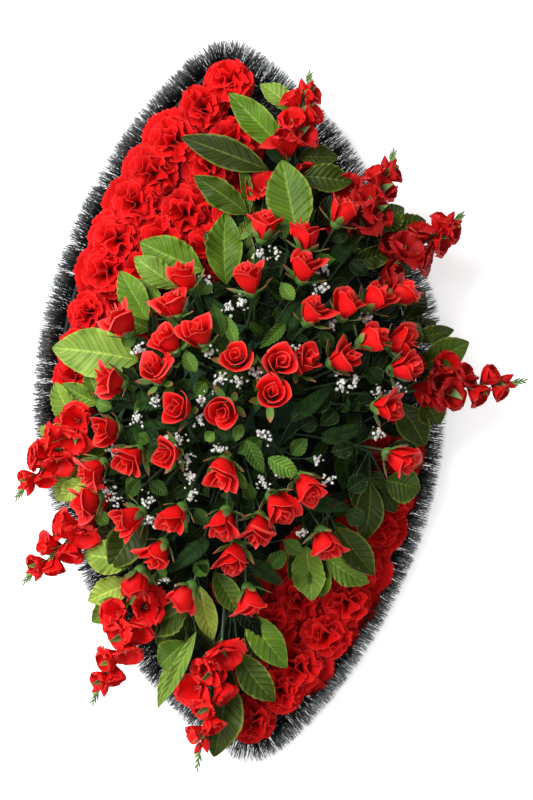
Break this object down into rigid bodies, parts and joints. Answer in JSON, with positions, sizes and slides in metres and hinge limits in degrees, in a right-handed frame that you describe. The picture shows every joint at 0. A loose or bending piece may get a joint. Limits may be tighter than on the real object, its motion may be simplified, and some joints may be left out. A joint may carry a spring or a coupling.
{
  "type": "funeral wreath",
  "caption": "Pointed oval artificial funeral wreath: red rosebuds, gladioli and leaves over carnation fields, edged with a dark needle garland.",
  "frame": {"origin": "middle of the back board's rear face, which the wreath lies on", "axes": "+Z out of the wreath's face, +Y to the wreath's top, +X to the right as the face is looked at"},
  "size_m": [0.7627, 1.1061, 0.2915],
  "materials": {
    "board": "matte black",
    "needles": "black-green cut film",
    "foam": "matte foam",
    "carnation": "soft matte",
    "rose": "satin fabric",
    "gladiolus": "soft matte",
    "leaf": "waxed fabric",
    "stem": "matte",
    "gypsophila": "matte white"
  },
  "bodies": {
    "root": {"back_board": "board", "needle_garland": "needles", "foam_block": "foam", "carnations_left_row_1": "carnation", "carnations_left_row_2": "carnation", "carnations_left_row_3": "carnation", "carnations_right_row_1": "carnation", "carnations_right_row_2": "carnation", "carnations_right_row_3": "carnation", "rose_bush_middle": "rose", "rose_bush_top": "rose", "rose_bush_top_right": "rose", "rose_bush_right": "rose", "rose_bush_low_right": "rose", "rose_bush_low": "rose", "rose_bush_low_left": "rose", "rose_bush_left": "rose", "rose_bush_top_left": "rose", "gladiolus_top": "gladiolus", "gladiolus_top_right": "gladiolus", "gladiolus_high_right": "gladiolus", "gladiolus_right": "gladiolus", "gladiolus_left": "gladiolus", "gladiolus_low_left": "gladiolus", "gladiolus_lower_left": "gladiolus", "gladiolus_bottom": "gladiolus", "leaf_spray_top": "leaf", "leaf_spray_top_left": "leaf", "leaf_spray_upper_left": "leaf", "leaf_spray_left": "leaf", "leaf_spray_low_left": "leaf", "leaf_spray_lower_left": "leaf", "leaf_spray_bottom": "leaf", "leaf_spray_low_right": "leaf", "leaf_spray_lower_right": "leaf", "leaf_spray_right": "leaf", "leaf_spray_top_right": "leaf"}
  },
  "joints": []
}
